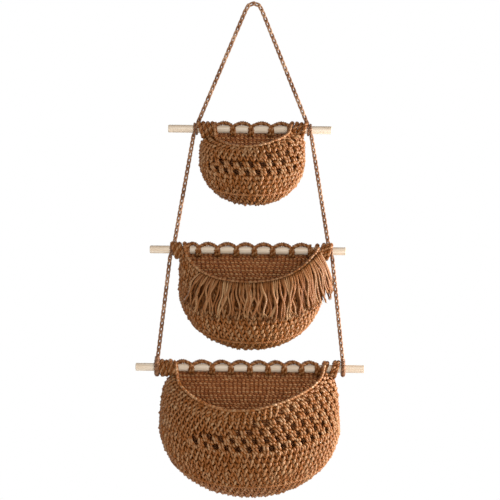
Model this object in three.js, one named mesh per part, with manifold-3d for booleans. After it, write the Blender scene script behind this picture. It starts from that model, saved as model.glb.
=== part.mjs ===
// Hanging rope basket: crocheted pouches on wooden dowels, one below the other, hung on chain cords.
// Millimetres, +Z up, +Y to the wall. The origin is where the cord rests on its hook.
import * as THREE from 'three';
import { mergeVertices } from 'three/addons/utils/BufferGeometryUtils.js';
import Module from 'manifold-3d';

// Main sizes: the dowels' lengths, and how far each hangs below the level above
const TOP_DOWEL = 250;
const MIDDLE_DOWEL = 300;
const BOTTOM_DOWEL = 350;
const TOP_DROP = 190;
const MIDDLE_DROP = 185;
const BOTTOM_DROP = 180;

// Stock that every tier shares
const DOWEL_DIAMETER = 12;
const DOWEL_CHAMFER = 0.8;
const CHAIN_WIDTH = 6; // crocheted chain of the hanging cords
const EYE_YARN = 3; // single yarn of the eyes that hold a dowel
const WRAP_CORD = 4; // doubled yarn wound round a dowel
const FABRIC = 5; // thickness of the crocheted walls
const RIM_CORD = 5;
const FRINGE_YARN = 2.6;
const FRINGE_LENGTH = 52;
const FRINGE_STRANDS = 22;
const HOOK_BEND = 12; // radius of the cord's middle line over the hook
const EYE_SPREAD = 5.6; // between the eyes of the upper and the lower cord on one dowel
const LOOSE = 0.4; // between a dowel and what goes round it
const SEAT = 0.3; // between pieces that touch

// Per tier, as shares of the dowel's length: the dowel's shift, half the span of the cords, the pouch and
// the heading's pitch. The pouch's rounds are half ovals that tilt forwards by slope; it is widest at the
// equator. The windings' pitch is in widths of their cord.
const TIERS = [
  {
    name: 'top', drop: TOP_DROP, dowelLength: TOP_DOWEL, shift: -0.016, span: 0.348,
    width: 0.324, rimWidth: 0.248, depth: 0.3, rimDepth: 0.28, equator: 0.166, bowl: 0.272, slope: 0.345,
    posts: 3, postPitch: 0.116, wrapTurns: 4, wrapPitch: 1.65,
  },
  {
    name: 'middle', drop: MIDDLE_DROP, dowelLength: MIDDLE_DOWEL, shift: -0.017, span: 0.403,
    width: 0.367, rimWidth: 0.353, depth: 0.317, rimDepth: 0.297, equator: 0.175, bowl: 0.276, slope: 0.44,
    posts: 7, postPitch: 0.094, wrapTurns: 3, wrapPitch: 1.4,
  },
  {
    name: 'bottom', drop: BOTTOM_DROP, dowelLength: BOTTOM_DOWEL, shift: 0, span: 0.414,
    width: 0.394, rimWidth: 0.331, depth: 0.334, rimDepth: 0.326, equator: 0.23, bowl: 0.269, slope: 0.37,
    posts: 8, postPitch: 0.078, wrapTurns: 4, wrapPitch: 1.6,
  },
].map((tier) => {
  const sized = (share) => share * tier.dowelLength;
  return {
    ...tier,
    dowelShift: sized(tier.shift),
    halfSpan: sized(tier.span),
    halfWidth: sized(tier.width),
    rimHalfWidth: sized(tier.rimWidth),
    depth: sized(tier.depth),
    rimDepth: sized(tier.rimDepth),
    equator: sized(tier.equator),
    bowl: sized(tier.bowl),
    postPitch: sized(tier.postPitch),
    wrapPitch: tier.wrapPitch * WRAP_CORD,
  };
});

const DOWEL_RADIUS = DOWEL_DIAMETER / 2;
const WRAP_RADIUS = DOWEL_RADIUS + LOOSE + WRAP_CORD / 2;
const WALL = DOWEL_RADIUS + LOOSE + WRAP_CORD; // y of the wall plane, behind dowel and windings
const SEAM = FABRIC + SEAT; // from the wall plane to the pouch's edge
const RIM_TOP = -Math.sqrt((WALL + SEAT) ** 2 - (WALL - SEAM) ** 2); // at the seam, under the windings
const EYE_RADIUS = DOWEL_RADIUS + LOOSE + EYE_YARN / 2;

const wasm = await Module();
wasm.setup();

const YARN = { color: 0x8f5e38, roughness: 0.9, metalness: 0 };
const LIGHT_YARN = { color: 0xa97646, roughness: 0.9, metalness: 0 };
const WOOD = { color: 0xe3c9a6, roughness: 0.6, metalness: 0 };

const basket = new THREE.Group();
basket.name = 'hanging_rope_basket';

/** Adds a geometry to the group as a named mesh with its own material. */
function add(name, geometry, finish) {
  const mesh = new THREE.Mesh(geometry, new THREE.MeshStandardMaterial(finish));
  mesh.name = name;
  basket.add(mesh);
}

/** Joins closed geometries into one solid. */
function join(geometries) {
  const solids = geometries.map((geometry) => {
    const bare = new THREE.BufferGeometry();
    bare.setAttribute('position', geometry.getAttribute('position'));
    if (geometry.index) bare.setIndex(geometry.index);
    const merged = mergeVertices(bare, 1e-3);
    return new wasm.Manifold(new wasm.Mesh({
      numProp: 3,
      vertProperties: merged.attributes.position.array,
      triVerts: new Uint32Array(merged.index.array),
    }));
  });
  const mesh = wasm.Manifold.union(solids).getMesh();
  const out = new THREE.BufferGeometry();
  out.setAttribute('position', new THREE.BufferAttribute(mesh.vertProperties, 3));
  return out.setIndex(new THREE.BufferAttribute(mesh.triVerts, 1));
}

/** A regular polygon as a shape: the section of a cord or a dowel. */
function roundShape(radius, sides) {
  const corners = Array.from({ length: sides }, (_, i) => {
    const turn = (2 * Math.PI * i) / sides;
    return new THREE.Vector2(radius * Math.cos(turn), radius * Math.sin(turn));
  });
  return new THREE.Shape(corners);
}

/** A closed tube of the given width along a curve. */
function tube(curve, width, sides, steps) {
  return new THREE.ExtrudeGeometry(roundShape(width / 2, sides), { extrudePath: curve, steps });
}

/** A curve given by a function of t from 0 to 1. */
class Path extends THREE.Curve {
  constructor(pointAt) {
    super();
    this.pointAt = pointAt;
  }

  getPoint(t, target = new THREE.Vector3()) {
    return target.copy(this.pointAt(t));
  }
}

const DOWEL_SIDES = 24;

/** A dowel with chamfered ends, lying along X. */
function dowel(tier) {
  const depth = tier.dowelLength - 2 * DOWEL_CHAMFER;
  return new THREE.ExtrudeGeometry(roundShape(DOWEL_RADIUS, DOWEL_SIDES), {
    depth,
    bevelThickness: DOWEL_CHAMFER,
    bevelSize: DOWEL_CHAMFER,
    bevelOffset: -DOWEL_CHAMFER,
    bevelSegments: 1,
  }).translate(0, 0, -depth / 2).rotateY(Math.PI / 2).translate(tier.dowelShift, 0, tier.z);
}

const CHAIN_SIDES = 8;
const SLING_STEPS = 60;
const SIDE_CORD_STEPS = 4;
const EYE_SIDES = 6;
const EYE_STEPS = 14;

/** The eye at a chain's end, a ring of yarn round the dowel. */
function eye(x, z) {
  return new THREE.TorusGeometry(EYE_RADIUS, EYE_YARN / 2, EYE_SIDES, EYE_STEPS)
    .rotateY(Math.PI / 2).translate(x, 0, z);
}

/** The sling over the hook: two straight legs, tangent to the bend, with an eye at each end. */
function sling(tier) {
  const x = tier.halfSpan - EYE_SPREAD / 2;
  const end = tier.z + EYE_RADIUS;
  const centre = CHAIN_WIDTH / 2 - HOOK_BEND;
  const reach = Math.hypot(x, centre - end);
  const leg = Math.sqrt(reach ** 2 - HOOK_BEND ** 2);
  const lean = Math.atan2(x, centre - end) - Math.atan2(HOOK_BEND, leg);
  const bend = HOOK_BEND * (Math.PI / 2 - lean); // half of the cord's length over the hook
  const half = (s) => (s < bend
    ? [HOOK_BEND * Math.sin(s / HOOK_BEND), centre + HOOK_BEND * Math.cos(s / HOOK_BEND)]
    : [
      HOOK_BEND * Math.cos(lean) + (s - bend) * Math.sin(lean),
      centre + HOOK_BEND * Math.sin(lean) - (s - bend) * Math.cos(lean),
    ]);
  const path = new Path((t) => {
    const s = (2 * t - 1) * (bend + leg);
    const [px, pz] = half(Math.abs(s));
    return new THREE.Vector3(Math.sign(s) * px, 0, pz);
  });
  return join([tube(path, CHAIN_WIDTH, CHAIN_SIDES, SLING_STEPS), eye(x, tier.z), eye(-x, tier.z)]);
}

/** A straight chain cord between the dowels of two tiers, with an eye on each. */
function sideCord(upper, lower, side) {
  const top = side * (upper.halfSpan + EYE_SPREAD / 2);
  const foot = side * (lower.halfSpan - EYE_SPREAD / 2);
  const line = new THREE.LineCurve3(
    new THREE.Vector3(top, 0, upper.z - EYE_RADIUS),
    new THREE.Vector3(foot, 0, lower.z + EYE_RADIUS),
  );
  return join([tube(line, CHAIN_WIDTH, CHAIN_SIDES, SIDE_CORD_STEPS), eye(top, upper.z), eye(foot, lower.z)]);
}

/** Half-width, depth and height of a pouch's round: v from 0 (pole) over 1 (equator) to 2 (rim). */
function roundOf(tier, v, inset) {
  const width = tier.halfWidth - inset;
  const depth = tier.depth - inset;
  if (v <= 1) {
    const turn = (v * Math.PI) / 2;
    return [width * Math.sin(turn), depth * Math.sin(turn), -tier.equator - (tier.bowl - inset) * Math.cos(turn)];
  }
  const narrow = (v - 1) ** 6;
  return [
    width - (tier.halfWidth - tier.rimHalfWidth) * narrow,
    depth - (tier.depth - tier.rimDepth) * narrow,
    -tier.equator + (RIM_TOP + tier.slope * SEAM + tier.equator) * (v - 1),
  ];
}

/** A point of the pouch: phi from 0 (left seam) to PI (right seam) round the front. */
function pouchPoint(tier, phi, v, inset = 0) {
  const [width, depth, height] = roundOf(tier, v, inset);
  const out = SEAM + depth * Math.sin(phi);
  return new THREE.Vector3(-width * Math.cos(phi), WALL - out, tier.z + height - tier.slope * out);
}

/** Outward normal of the pouch's outer face. */
function pouchNormal(tier, phi, v) {
  const step = 1e-3;
  const along = pouchPoint(tier, phi + step, v).sub(pouchPoint(tier, phi - step, v));
  const up = pouchPoint(tier, phi, v + step).sub(pouchPoint(tier, phi, v - step));
  return along.cross(up).normalize();
}

/** Rows of v from the pole to the rim, closer together on the bowl. */
const POUCH_ROWS = [0, 0.2, 0.4, 0.6, 0.8, 1, 1.3, 1.6, 1.85, 2];
const POUCH_COLUMNS = 18;

/** The pouch's front wall: an outer and an inner skin, closed along the seam and the rim. */
function frontPocket(tier) {
  const points = [];
  const grid = [0, FABRIC].map((inset) => POUCH_ROWS.map((v) => {
    const row = Array.from({ length: POUCH_COLUMNS + 1 }, (_, j) => {
      if (v > 0 || j === 0) points.push(pouchPoint(tier, (Math.PI * j) / POUCH_COLUMNS, v, inset));
      return points.length - 1;
    });
    return row;
  }));
  const index = [];
  const quad = (a, b, c, d) => {
    [[a, b, c], [a, c, d]].forEach((tri) => {
      if (new Set(tri).size === 3) index.push(...tri);
    });
  };
  const [outer, inner] = grid;
  const last = POUCH_ROWS.length - 1;
  for (let i = 0; i < last; i += 1) {
    for (let j = 0; j < POUCH_COLUMNS; j += 1) {
      quad(outer[i][j], outer[i][j + 1], outer[i + 1][j + 1], outer[i + 1][j]);
      quad(inner[i][j + 1], inner[i][j], inner[i + 1][j], inner[i + 1][j + 1]);
    }
    quad(inner[i][0], outer[i][0], outer[i + 1][0], inner[i + 1][0]);
    quad(outer[i][POUCH_COLUMNS], inner[i][POUCH_COLUMNS], inner[i + 1][POUCH_COLUMNS],
      outer[i + 1][POUCH_COLUMNS]);
  }
  for (let j = 0; j < POUCH_COLUMNS; j += 1) {
    quad(outer[last][j], outer[last][j + 1], inner[last][j + 1], inner[last][j]);
  }
  return new THREE.BufferGeometry().setFromPoints(points).setIndex(index);
}

/** The flat back panel, on the wall plane, with the pouch's outline. */
function backPanel(tier) {
  const side = POUCH_ROWS.slice(1).map((v) => {
    const [width, , height] = roundOf(tier, v, 0);
    return new THREE.Vector2(width, height - tier.slope * SEAM);
  });
  const pole = new THREE.Vector2(0, roundOf(tier, 0, 0)[2] - tier.slope * SEAM);
  const mirrored = side.map((p) => new THREE.Vector2(-p.x, p.y)).reverse();
  const shape = new THREE.Shape([pole, ...side, ...mirrored]);
  return new THREE.ExtrudeGeometry(shape, { depth: FABRIC, bevelEnabled: false })
    .rotateX(Math.PI / 2).translate(0, WALL, tier.z);
}

const CLIMB_ANGLE = 0.16; // radians of phi in which the rim's edging climbs to the dowel
const RIM_SIDES = 8;
const RIM_STEPS = 28;

/** The edging that follows the rim and climbs at both ends to the windings on the dowel. */
function rimEdging(tier) {
  const front = WALL + RIM_CORD / 2; // its ends lie against the windings
  const first = Math.asin((WALL - SEAM + front) / tier.rimDepth);
  const rise = (RIM_CORD / 2 + SEAT) * Math.hypot(1, tier.slope);
  const climb = tier.z - rise - pouchPoint(tier, first, 2, FABRIC / 2).z;
  const path = new Path((t) => {
    const phi = first + (Math.PI - 2 * first) * t;
    const toEnd = Math.min(phi - first, Math.PI - first - phi) / CLIMB_ANGLE;
    const p = pouchPoint(tier, phi, 2, FABRIC / 2);
    return p.setZ(p.z + rise + climb * Math.exp(-(toEnd ** 2)));
  });
  return tube(path, RIM_CORD, RIM_SIDES, RIM_STEPS);
}

/** Point at a turn round the dowel: 0 under it, 0.25 in front, 0.5 on top, 0.75 behind. */
function roundDowel(x, z, turn, radius) {
  const angle = 2 * Math.PI * turn;
  return new THREE.Vector3(x, -radius * Math.sin(angle), z - radius * Math.cos(angle));
}

const GAP_SAMPLES = 400;
const NEAR_WIDTHS = 2.5; // points closer than this along the cord are the same stretch of it

/** Least gap of a winding to itself, on points of its middle line; printed for the record. */
function reportGap(name, curve, width) {
  const points = curve.getSpacedPoints(GAP_SAMPLES);
  const step = curve.getLength() / GAP_SAMPLES;
  const skip = Math.ceil((NEAR_WIDTHS * width) / step);
  let least = Infinity;
  points.forEach((p, i) => {
    for (let j = i + skip; j < points.length; j += 1) least = Math.min(least, p.distanceTo(points[j]));
  });
  console.log(`${name}: least gap to itself ${(least - width).toFixed(2)} mm`);
}

const WINDING_SIDES = 5;
const WINDING_STEPS = 13; // per turn

/** One unbroken winding from turn first to turn last, with a straight end of one cord width at each. */
function winding(name, pointAt, first, last) {
  const start = pointAt(first);
  const finish = pointAt(last);
  const small = 1e-3;
  const backward = pointAt(first).sub(pointAt(first + small)).setLength(WRAP_CORD);
  const forward = pointAt(last).sub(pointAt(last - small)).setLength(WRAP_CORD);
  const turns = last - first;
  const count = Math.round(turns * WINDING_STEPS);
  const inside = Array.from({ length: count - 1 }, (_, i) => pointAt(first + (turns * (i + 1)) / count));
  const points = [start.clone().add(backward), start, ...inside, finish, finish.clone().add(forward)];
  const curve = new THREE.CatmullRomCurve3(points);
  reportGap(name, curve, WRAP_CORD);
  return tube(curve, WRAP_CORD, WINDING_SIDES, points.length - 1);
}

const ARCH_START = 0.28; // share of a turn at which a post leans over into its arch
const ARCH_RISE = 0.3; // of the cord's width, an arch over the windings beside it
const HEADING_START = -0.25; // turns before the first post: behind the dowel
const HEADING_END = 0.45; // turns after the last post: nearly on top of the dowel

/** The heading: posts up the front of the dowel, each joined to the next by an arch over its top. */
function heading(tier) {
  const left = (-(tier.posts - 1) * tier.postPitch) / 2;
  const pointAt = (turn) => {
    const post = Math.min(Math.floor(turn - HEADING_START), tier.posts - 1);
    const part = turn - post;
    const step = post < tier.posts - 1 ? THREE.MathUtils.smoothstep(part, ARCH_START, 1 - ARCH_START) : 0;
    const over = THREE.MathUtils.clamp((part - ARCH_START) / (1 - 2 * ARCH_START), 0, 1);
    const arch = ARCH_RISE * WRAP_CORD * Math.sin(Math.PI * over) ** 2;
    return roundDowel(left + (post + step) * tier.postPitch, tier.z, turn, WRAP_RADIUS + arch);
  };
  return winding(`${tier.name}_heading`, pointAt, HEADING_START, tier.posts - 1 + HEADING_END);
}

/** The winding that lashes a corner of the pouch to the dowel. */
function cornerWrap(tier, side) {
  const outer = tier.halfWidth - WRAP_CORD / 2;
  const pointAt = (turn) => roundDowel(
    side * (outer - tier.wrapTurns * tier.wrapPitch + turn * tier.wrapPitch), tier.z, turn, WRAP_RADIUS,
  );
  const name = `${tier.name}_${side < 0 ? 'left' : 'right'}_corner_wrap`;
  add(name, winding(name, pointAt, 0, tier.wrapTurns), YARN);
}

const FRINGE_MARGIN = 0.42; // radians of phi from a seam to the first strand
const FRINGE_UNEVEN = 0.08; // share by which the strands differ in length
const FRINGE_BEAT = 2.4; // radians of that unevenness from strand to strand
const LEG_SHARES = [1, 0.75, 0.5, 0.25, 0.08]; // points on a strand's leg, from its tip
const LEG_SPREAD = 1.08; // yarn widths from a strand's middle to each of its legs
const FRINGE_SIDES = 5;
const FRINGE_STEPS = 11;

/** A fringe yarn, doubled: up one leg, over under the rim, down the other, lying on the pouch. */
function fringeStrand(tier, phi, length) {
  const wall = tier.equator + RIM_TOP + tier.slope * SEAM;
  const place = (angle, down) => {
    const v = down < wall ? 2 - down / wall : 1 - ((down - wall) / tier.bowl) * (2 / Math.PI);
    const lift = pouchNormal(tier, angle, v).setLength(FRINGE_YARN / 2 + SEAT);
    return pouchPoint(tier, angle, v).add(lift);
  };
  const spread = (LEG_SPREAD * FRINGE_YARN) / tier.halfWidth;
  const downs = LEG_SHARES.map((share) => share * length);
  const leg = (side) => downs.map((down) => place(phi + side * spread, down));
  const path = new THREE.CatmullRomCurve3([...leg(-1), place(phi, 0.5 * FRINGE_YARN), ...leg(1).reverse()]);
  return tube(path, FRINGE_YARN, FRINGE_SIDES, FRINGE_STEPS);
}

let level = 0;
TIERS.forEach((tier) => {
  level -= tier.drop;
  tier.z = level;
});

add('hanging_sling', sling(TIERS[0]), YARN);
TIERS.slice(1).forEach((tier, i) => {
  add(`${tier.name}_left_cord`, sideCord(TIERS[i], tier, -1), YARN);
  add(`${tier.name}_right_cord`, sideCord(TIERS[i], tier, 1), YARN);
});
TIERS.forEach((tier) => {
  add(`${tier.name}_dowel`, dowel(tier), WOOD);
  add(`${tier.name}_back_panel`, backPanel(tier), YARN);
  add(`${tier.name}_front_pocket`, frontPocket(tier), YARN);
  add(`${tier.name}_rim_edging`, rimEdging(tier), YARN);
  add(`${tier.name}_heading`, heading(tier), YARN);
  cornerWrap(tier, -1);
  cornerWrap(tier, 1);
});
for (let i = 0; i < FRINGE_STRANDS; i += 1) {
  const phi = FRINGE_MARGIN + ((Math.PI - 2 * FRINGE_MARGIN) * i) / (FRINGE_STRANDS - 1);
  const length = FRINGE_LENGTH * (1 + FRINGE_UNEVEN * Math.sin(FRINGE_BEAT * i));
  add(`fringe_strand_${String(i + 1).padStart(2, '0')}`, fringeStrand(TIERS[1], phi, length), LIGHT_YARN);
}

export default basket;
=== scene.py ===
import bpy
import numpy as np
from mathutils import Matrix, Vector


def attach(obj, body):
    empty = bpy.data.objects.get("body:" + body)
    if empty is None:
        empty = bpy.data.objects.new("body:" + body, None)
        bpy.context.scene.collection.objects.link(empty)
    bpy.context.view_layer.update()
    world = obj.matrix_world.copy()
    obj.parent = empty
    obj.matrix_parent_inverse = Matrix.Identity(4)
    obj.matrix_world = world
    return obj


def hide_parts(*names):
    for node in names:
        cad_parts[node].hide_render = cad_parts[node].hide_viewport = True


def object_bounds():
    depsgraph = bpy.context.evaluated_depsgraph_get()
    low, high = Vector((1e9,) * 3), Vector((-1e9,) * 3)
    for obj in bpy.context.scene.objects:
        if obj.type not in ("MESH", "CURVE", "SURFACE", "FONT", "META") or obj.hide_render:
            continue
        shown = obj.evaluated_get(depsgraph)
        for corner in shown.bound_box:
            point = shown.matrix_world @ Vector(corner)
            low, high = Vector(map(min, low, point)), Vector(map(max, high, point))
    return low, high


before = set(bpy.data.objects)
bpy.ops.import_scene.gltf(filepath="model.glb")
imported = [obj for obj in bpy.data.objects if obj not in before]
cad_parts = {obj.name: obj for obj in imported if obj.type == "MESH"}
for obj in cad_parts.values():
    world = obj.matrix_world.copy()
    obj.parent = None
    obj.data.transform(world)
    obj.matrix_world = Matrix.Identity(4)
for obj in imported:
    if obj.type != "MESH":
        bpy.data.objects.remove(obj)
cad_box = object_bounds()


# The view: straight on and level from two metres in front of the dowels, through a portrait lens,
# with the camera turned by about half a degree, so that the right ends look a little lower.
CAMERA_AT = (-0.002, -2.0, -0.3745)
CAMERA_LENS = 94.1
CAMERA_SENSOR = 36
CAMERA_ROLL = 0.6
lens = bpy.data.cameras.new("view")
lens.lens = CAMERA_LENS
lens.sensor_width = CAMERA_SENSOR
view = bpy.data.objects.new("view", lens)
view.location = CAMERA_AT
view.rotation_euler = np.radians((90, -CAMERA_ROLL, 0))
bpy.context.scene.collection.objects.link(view)
bpy.context.scene.camera = view


# The hanging cords: cotton yarn crocheted into a plain chain, each link an open loop drawn through the
# one before. The sling goes up and over in a bend, the side cords carry the lower dowels, and a loop of
# doubled yarn at each end goes round a dowel. Sizes are in millimetres; MM turns them to metres.
MM = 0.001
rng = np.random.default_rng(41)
TIERS = {
    "top": dict(z=-190.0, span=87.0),
    "middle": dict(z=-375.0, span=120.9),
    "bottom": dict(z=-555.0, span=144.9),
}
CHAIN_WIDTH = 6.0
CHAIN_YARN = 3.0
LINK_PITCH = 9.0
LINK_OVERLAP = 2.0
LINK_HALF = 1.9
LINK_PEAR = 0.22
LINK_LEAN = 1.7
LINK_POINTS = 14
LINK_TONE_SPREAD = 0.12
LINK_BEHIND_SHADE = 0.1
ROPE_YARN_SHARE = 0.58
EYE_SPREAD = 5.6
EYE_RADIUS = 7.9
EYE_YARN = 3.6
EYE_POINT = 3.6
EYE_POINT_ANGLE = 0.42
EYE_SHIFT_ANGLE = 0.5
EYE_APART = 1.7
EYE_TWIST = 7.0
EYE_PLY_SHADE_TONES = np.array([[0.26], [0.48]])
LAST_EYES = {"left": 8.6, "right": 6.6}
SLING_BEND = 12.0
PLAIN_TONE = 0.5
YARN_BLOTCH = 9.0
YARN_BLOTCH_TONE = 0.34
YARN_LIGHT_AT = 0.83
YARN_PLIES = 2.0
YARN_FIBRE = 0.6
YARN_FIBRE_SHARE = 0.5
YARN_RELIEF = 0.45
YARN_RELIEF_STRENGTH = 0.55
# Painted shade: this colour darkens the dips between the plies.
YARN_PLY_SHADE = "#E7E3DF"
YARN_GLOSS = 0.46
YARN_ROUGHNESS = 0.5
WAVE_OF_ONE = 2 * np.pi / 10
WHITE = "#FFFFFF"


def linear(hex_colour):
    """sRGB hex to linear: ((c + 0.055) / 1.055) ** 2.4 for each channel above the straight foot of the
    curve, and c / 12.92 on it."""
    c = np.array([int(hex_colour[i:i + 2], 16) for i in (1, 3, 5)]) / 255
    return (*np.where(c > 0.04045, ((c + 0.055) / 1.055) ** 2.4, c / 12.92), 1.0)


def node(tree, kind, inputs=None, **settings):
    """Adds one node: settings are its properties, inputs its sockets' values or the outputs linked to
    them."""
    made = tree.nodes.new(kind)
    for name, value in settings.items():
        setattr(made, name, value)
    for key, value in (inputs or {}).items():
        if isinstance(value, bpy.types.NodeSocket):
            tree.links.new(value, made.inputs[key])
        else:
            made.inputs[key].default_value = value
    return made


def new_material(name):
    """An empty node material: its tree and its output's surface socket."""
    made = bpy.data.materials.new(name)
    made.use_nodes = True
    made.node_tree.nodes.clear()
    end = node(made.node_tree, "ShaderNodeOutputMaterial")
    return made, made.node_tree, end.inputs["Surface"]


def cotton_yarn(name, dark, plain, light, ply_mm, sheen):
    """Dyed cotton yarn, plied from soft singles: matt, with a slight bloom of loose fibre. The tone of
    each stitch comes from the mesh, and with it painted shade and highlight: each stitch is painted
    dark at its roots and light on its crown, and the specular level follows the tone, so that the
    painted shade in the roots is dull as well. The ply winds round the yarn's own UV map, where U is
    millimetres along it and V is one turn round it, and it is drawn coarser than life, so that it
    shows; the dips between the plies are painted darker, as painted shade. The wave node's scale for
    one band to each unit of its vector is 2 pi / 10."""
    made, tree, surface = new_material(name)
    tone = node(tree, "ShaderNodeAttribute", attribute_name="tone").outputs["Fac"]
    place = node(tree, "ShaderNodeTexCoord").outputs["Object"]
    blotch = node(tree, "ShaderNodeTexNoise",
                  {"Vector": place, "Scale": 1 / (YARN_BLOTCH * MM), "Detail": 3.0})
    mixed = node(tree, "ShaderNodeMath", {0: blotch.outputs["Fac"], 1: YARN_BLOTCH_TONE, 2: tone},
                 operation="MULTIPLY_ADD")
    shade = node(tree, "ShaderNodeMath", {0: mixed.outputs[0], 1: YARN_BLOTCH_TONE / 2},
                 operation="SUBTRACT")
    ramp = node(tree, "ShaderNodeValToRGB", {"Fac": shade.outputs[0]})
    ramp.color_ramp.elements[0].color = linear(dark)
    ramp.color_ramp.elements[1].color = linear(light)
    ramp.color_ramp.elements[1].position = YARN_LIGHT_AT
    ramp.color_ramp.elements.new(PLAIN_TONE).color = linear(plain)
    along = node(tree, "ShaderNodeUVMap", uv_map="yarn").outputs["UV"]
    turned = node(tree, "ShaderNodeMapping", {"Vector": along, "Scale": (1 / ply_mm, YARN_PLIES, 1.0)})
    ply = node(tree, "ShaderNodeTexWave",
               {"Vector": turned.outputs[0], "Scale": WAVE_OF_ONE, "Distortion": 0.6, "Detail": 1.0,
                "Detail Scale": 1.5}, bands_direction="DIAGONAL")
    fibre = node(tree, "ShaderNodeTexNoise",
                 {"Vector": place, "Scale": 1 / (YARN_FIBRE * MM), "Detail": 2.0})
    relief = node(tree, "ShaderNodeMath",
                  {0: fibre.outputs["Fac"], 1: YARN_FIBRE_SHARE, 2: ply.outputs["Fac"]},
                  operation="MULTIPLY_ADD")
    bump = node(tree, "ShaderNodeBump",
                {"Height": relief.outputs[0], "Strength": YARN_RELIEF_STRENGTH,
                 "Distance": YARN_RELIEF * MM})
    # Painted shade in the dips between the plies.
    ply_groove_shade = node(tree, "ShaderNodeMix",
                  {0: ply.outputs["Fac"], 6: linear(YARN_PLY_SHADE), 7: linear(WHITE)}, data_type="RGBA")
    colour = node(tree, "ShaderNodeMix", {0: 1.0, 6: ramp.outputs["Color"], 7: ply_groove_shade.outputs[2]},
                  data_type="RGBA", blend_type="MULTIPLY")
    # The specular level follows the tone: painted shade in the stitches' roots is also painted dull.
    gloss_dulled_in_shade = node(tree, "ShaderNodeMath", {0: tone, 1: YARN_GLOSS}, operation="MULTIPLY")
    shader = node(tree, "ShaderNodeBsdfPrincipled",
                  {"Base Color": colour.outputs[2], "Normal": bump.outputs[0],
                   "Roughness": YARN_ROUGHNESS, "Specular IOR Level": gloss_dulled_in_shade.outputs[0],
                   "Sheen Weight": sheen, "Sheen Roughness": YARN_ROUGHNESS})
    tree.links.new(shader.outputs[0], surface)
    return made


def tubes(centre, radius, up, sides, tone, closed=False):
    """Yarns as tubes. A ring's point is C + r (cos a N + sin a B): C runs along each path of
    centre[yarns, points, xyz], T is its direction, B = T x up and N = B x T. closed joins the last ring
    to the first; else caps close the ends. Returns points, tones, and for each size of face its corners
    with their UV (millimetres along, turns round)."""
    centre = np.asarray(centre, float)
    count, steps = centre.shape[:2]
    radius = np.broadcast_to(radius, (count, steps))
    tone = np.broadcast_to(tone, (count, steps))
    if closed:
        along = np.roll(centre, -1, 1) - np.roll(centre, 1, 1)
    else:
        along = np.gradient(centre, axis=1)
    along = along / np.linalg.norm(along, axis=2, keepdims=True)
    side = np.cross(along, np.broadcast_to(up, centre.shape))
    side = side / np.linalg.norm(side, axis=2, keepdims=True)
    out = np.cross(side, along)
    turn = 2 * np.pi * np.arange(sides) / sides
    ring = np.cos(turn)[:, None] * out[:, :, None] + np.sin(turn)[:, None] * side[:, :, None]
    points = centre[:, :, None] + radius[:, :, None, None] * ring
    index = np.arange(count * steps * sides).reshape(count, steps, sides)
    reach = np.linalg.norm(np.diff(centre, axis=1, append=centre[:, :1]), axis=2).cumsum(1)
    reach = np.concatenate([np.zeros((count, 1)), reach], 1)
    last = steps if closed else steps - 1
    here = index[:, :last]
    there = np.roll(index, -1, 1)[:, :last]
    quads = np.stack([here, np.roll(here, -1, 2), np.roll(there, -1, 2), there], -1).reshape(-1, 4)
    near = reach[:, :last]
    far = reach[:, 1:last + 1]
    u = np.broadcast_to(np.stack([near, near, far, far], -1)[:, :, None], (count, last, sides, 4))
    v = np.broadcast_to((np.arange(sides)[:, None] + (0, 1, 1, 0)) / sides, (count, last, sides, 4))
    faces = [(quads, np.stack([u, v], -1).reshape(-1, 4, 2))]
    if not closed:
        caps = np.concatenate([index[:, 0, ::-1], index[:, -1]])
        faces.append((caps, np.zeros((*caps.shape, 2))))
    return points.reshape(-1, 3), np.repeat(tone.ravel(), sides), faces


def piece(name, parts, material, body, slot, *nodes):
    """One object from the given parts, placed in its mesh in metres, that rides on a body and stands for
    CAD nodes."""
    starts = np.cumsum([0] + [len(p[0]) for p in parts])
    corners = [(f + start).ravel() for start, p in zip(starts, parts) for f, _ in p[2]]
    sizes = np.concatenate([np.full(len(f), f.shape[1]) for p in parts for f, _ in p[2]])
    uvs = np.concatenate([uv.reshape(-1, 2) for p in parts for _, uv in p[2]])
    mesh = bpy.data.meshes.new(name)
    mesh.vertices.add(int(starts[-1]))
    mesh.vertices.foreach_set("co", MM * np.concatenate([p[0] for p in parts]).ravel())
    mesh.loops.add(int(sizes.sum()))
    mesh.loops.foreach_set("vertex_index", np.concatenate(corners).astype(np.int32))
    mesh.polygons.add(len(sizes))
    mesh.polygons.foreach_set("loop_start", (np.cumsum(sizes) - sizes).astype(np.int32))
    mesh.update(calc_edges=True)
    mesh.uv_layers.new(name="yarn").uv.foreach_set("vector", uvs.astype(np.float32).ravel())
    shades = mesh.attributes.new("tone", "FLOAT", "POINT")
    shades.data.foreach_set("value", np.concatenate([p[1] for p in parts]).astype(np.float32))
    mesh.shade_smooth()
    mesh.materials.append(material)
    made = bpy.data.objects.new(name, mesh)
    bpy.context.scene.collection.objects.link(made)
    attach(made, body)
    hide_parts(*nodes)
    return made


def arc_length(points):
    """Length along a path from its first point to each: the sum of the steps up to it."""
    return np.concatenate([[0], np.linalg.norm(np.diff(points, axis=0), axis=1).cumsum()])


def spaced(points, step):
    """The path's points again at an even spacing near step: interpolation at equal arc lengths."""
    s = arc_length(points)
    even = np.linspace(0, s[-1], int(round(s[-1] / step)) + 1)
    return np.stack([np.interp(even, s, points[:, k]) for k in range(3)], 1)


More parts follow.
